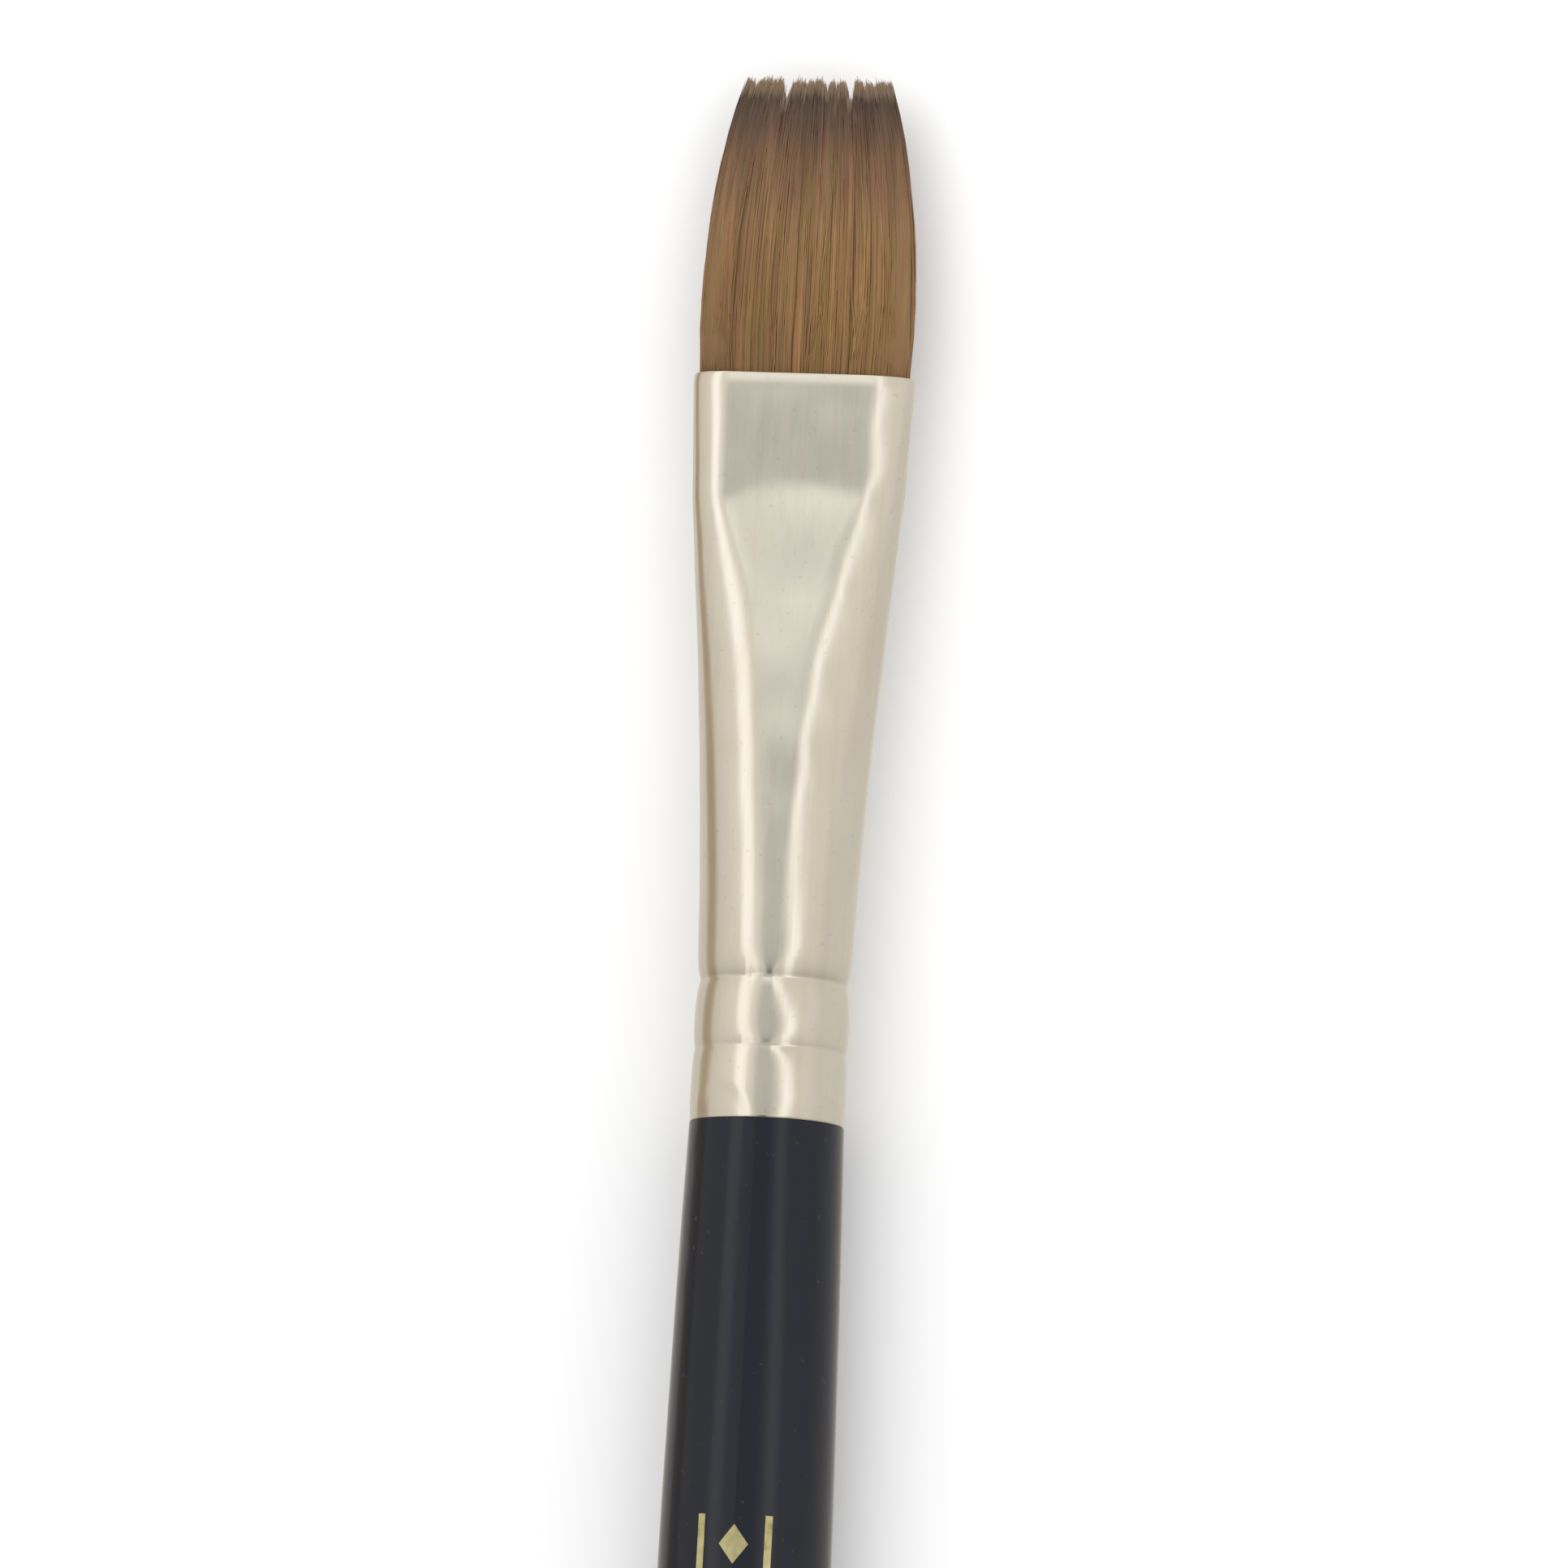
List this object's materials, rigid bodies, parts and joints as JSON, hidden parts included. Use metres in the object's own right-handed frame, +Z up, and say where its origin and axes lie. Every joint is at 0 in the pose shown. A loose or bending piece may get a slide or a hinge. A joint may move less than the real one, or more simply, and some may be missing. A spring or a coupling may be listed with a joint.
{
  "type": "tint brush",
  "caption": "Flat soft-hair brush for tint or colour, with a nickel-plated ferrule crimped on a lacquered wooden handle",
  "frame": {"origin": "on the surface the brush lies on, under the middle of its bounding box", "axes": "+X along the brush toward the hair, +Y across the flat of the tuft, +Z up from the surface it lies on"},
  "size_m": [0.186, 0.013, 0.0106],
  "materials": {
    "nickel_plate": "bright nickel plate, fine drawn lines",
    "brown_hair": "soft natural hair, light sheen",
    "waxed_thread": "waxed",
    "cured_cement": "cured, clear amber",
    "hardwood": "turned and sanded",
    "dark_lacquer": "high gloss",
    "adhesive_film": "cured film",
    "gold_foil": "hot-stamped foil"
  },
  "bodies": {
    "root": {"ferrule": "nickel_plate", "hair_tuft": "brown_hair", "root_binding": "waxed_thread", "root_cement": "cured_cement", "handle_core": "hardwood", "handle_lacquer": "dark_lacquer", "tenon_glue": "adhesive_film", "foil_stamp": "gold_foil"}
  },
  "joints": []
}
